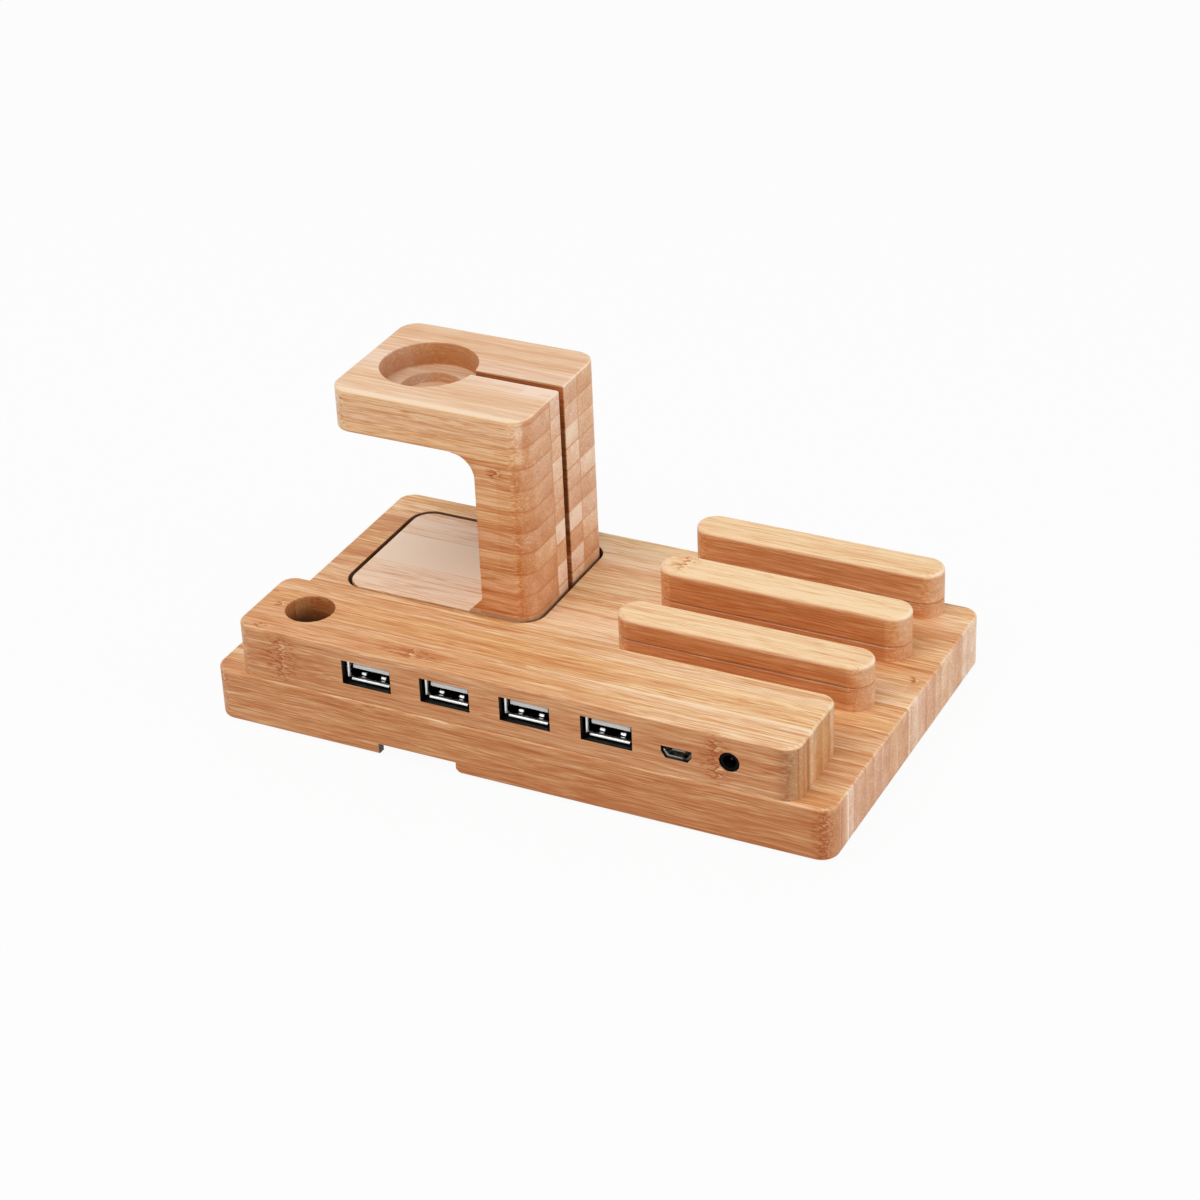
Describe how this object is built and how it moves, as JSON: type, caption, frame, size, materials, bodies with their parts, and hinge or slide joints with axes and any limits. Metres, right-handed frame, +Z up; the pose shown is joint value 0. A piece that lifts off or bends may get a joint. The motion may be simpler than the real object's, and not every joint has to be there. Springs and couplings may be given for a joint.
{
  "type": "charging station organizer",
  "caption": "Bamboo desk organizer with charging sockets and a pen hole in its front rail, three dividers that hold devices upright and a lift-out stand for a watch charger.",
  "frame": {"origin": "middle of the footprint, on the surface that the rubber feet stand on", "axes": "+X along the front edge, towards the end with the dividers; +Y to the back; +Z up"},
  "size_m": [0.185, 0.11, 0.08],
  "materials": {
    "bamboo": "smooth, oiled",
    "pale_bamboo": "smooth, oiled",
    "cover_board": "hardboard, matt",
    "steel": "nickel plated",
    "white_plastic": "moulded",
    "black_plastic": "moulded",
    "gilt": "plated",
    "rubber": "matt",
    "circuit_board": "solder mask",
    "capacitor_can": "satin",
    "ferrite": "matt"
  },
  "bodies": {
    "dock": {"base_board": "bamboo", "hub_rail": "bamboo", "divider_front": "pale_bamboo", "divider_middle": "pale_bamboo", "divider_rear": "pale_bamboo", "divider_dowels": "pale_bamboo", "rail_dowels": "pale_bamboo", "hub_cover": "cover_board", "cover_screws": "steel", "rubber_feet": "rubber", "circuit_board": "circuit_board", "board_screws": "steel", "usb_shell_1": "steel", "usb_shell_2": "steel", "usb_shell_3": "steel", "usb_shell_4": "steel", "usb_insulator_1": "white_plastic", "usb_insulator_2": "white_plastic", "usb_insulator_3": "white_plastic", "usb_insulator_4": "white_plastic", "usb_contacts_1": "gilt", "usb_contacts_2": "gilt", "usb_contacts_3": "gilt", "usb_contacts_4": "gilt", "micro_usb_shell": "steel", "micro_usb_insulator": "black_plastic", "micro_usb_contacts": "gilt", "dc_jack_housing": "black_plastic", "dc_jack_pin": "steel", "dc_jack_spring": "gilt", "hub_chip": "black_plastic", "hub_chip_leads": "steel", "crystal": "steel", "smoothing_capacitors": "capacitor_can", "chip_resistors": "black_plastic", "power_inductor": "ferrite"},
    "watch_stand": {"watch_stand": "bamboo"}
  },
  "joints": [
    {"name": "stand_lift", "type": "slide", "parent": "dock", "child": "watch_stand", "axis": [0, 0, 1], "range_m": [0, 0.03]}
  ]
}
